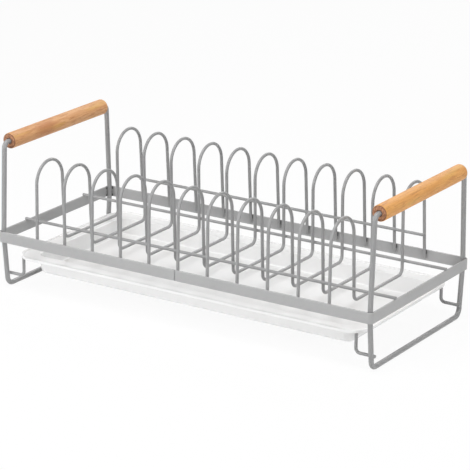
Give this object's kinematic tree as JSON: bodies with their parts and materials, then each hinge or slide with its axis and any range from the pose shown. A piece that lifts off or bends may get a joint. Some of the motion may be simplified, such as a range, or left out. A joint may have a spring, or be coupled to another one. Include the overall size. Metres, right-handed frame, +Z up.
{
  "type": "plate rack",
  "caption": "Countertop wire plate rack: arched dividers on a flat steel band, wire side frames with turning wooden grips, and a drip tray that slides out from the hooks below.",
  "frame": {"origin": "on the worktop, under the middle of the rack", "axes": "+X along the rack from its left grip to its right grip, +Y from the front to the back, +Z up"},
  "size_m": [0.4374, 0.19, 0.1585],
  "materials": {
    "coated_band": "satin grey powder coat",
    "coated_wire": "satin grey powder coat",
    "wooden_grip": "sanded and lightly oiled beech",
    "tray_plastic": "glossy white"
  },
  "bodies": {
    "rack": {"band": "coated_band", "left_side_frame": "coated_wire", "right_side_frame": "coated_wire", "divider_01": "coated_wire", "divider_02": "coated_wire", "divider_03": "coated_wire", "divider_04": "coated_wire", "divider_05": "coated_wire", "divider_06": "coated_wire", "divider_07": "coated_wire", "divider_08": "coated_wire", "divider_09": "coated_wire", "divider_10": "coated_wire", "divider_11": "coated_wire", "front_rail": "coated_wire", "back_rail": "coated_wire", "upper_rail": "coated_wire", "front_left_hook": "coated_wire", "back_left_hook": "coated_wire", "front_right_hook": "coated_wire", "back_right_hook": "coated_wire"},
    "left_grip": {"left_grip": "wooden_grip"},
    "right_grip": {"right_grip": "wooden_grip"},
    "drip_tray": {"drip_tray": "tray_plastic"}
  },
  "joints": [
    {"name": "left_grip_turn", "type": "hinge", "parent": "rack", "child": "left_grip", "pos_m": [-0.2107, 0, 0.1505], "axis": [0, 1, 0], "continuous": true},
    {"name": "right_grip_turn", "type": "hinge", "parent": "rack", "child": "right_grip", "pos_m": [0.2107, 0, 0.1505], "axis": [0, 1, 0], "continuous": true},
    {"name": "tray_slide", "type": "slide", "parent": "rack", "child": "drip_tray", "axis": [0, -1, 0], "range_m": [0, 0.165]}
  ]
}
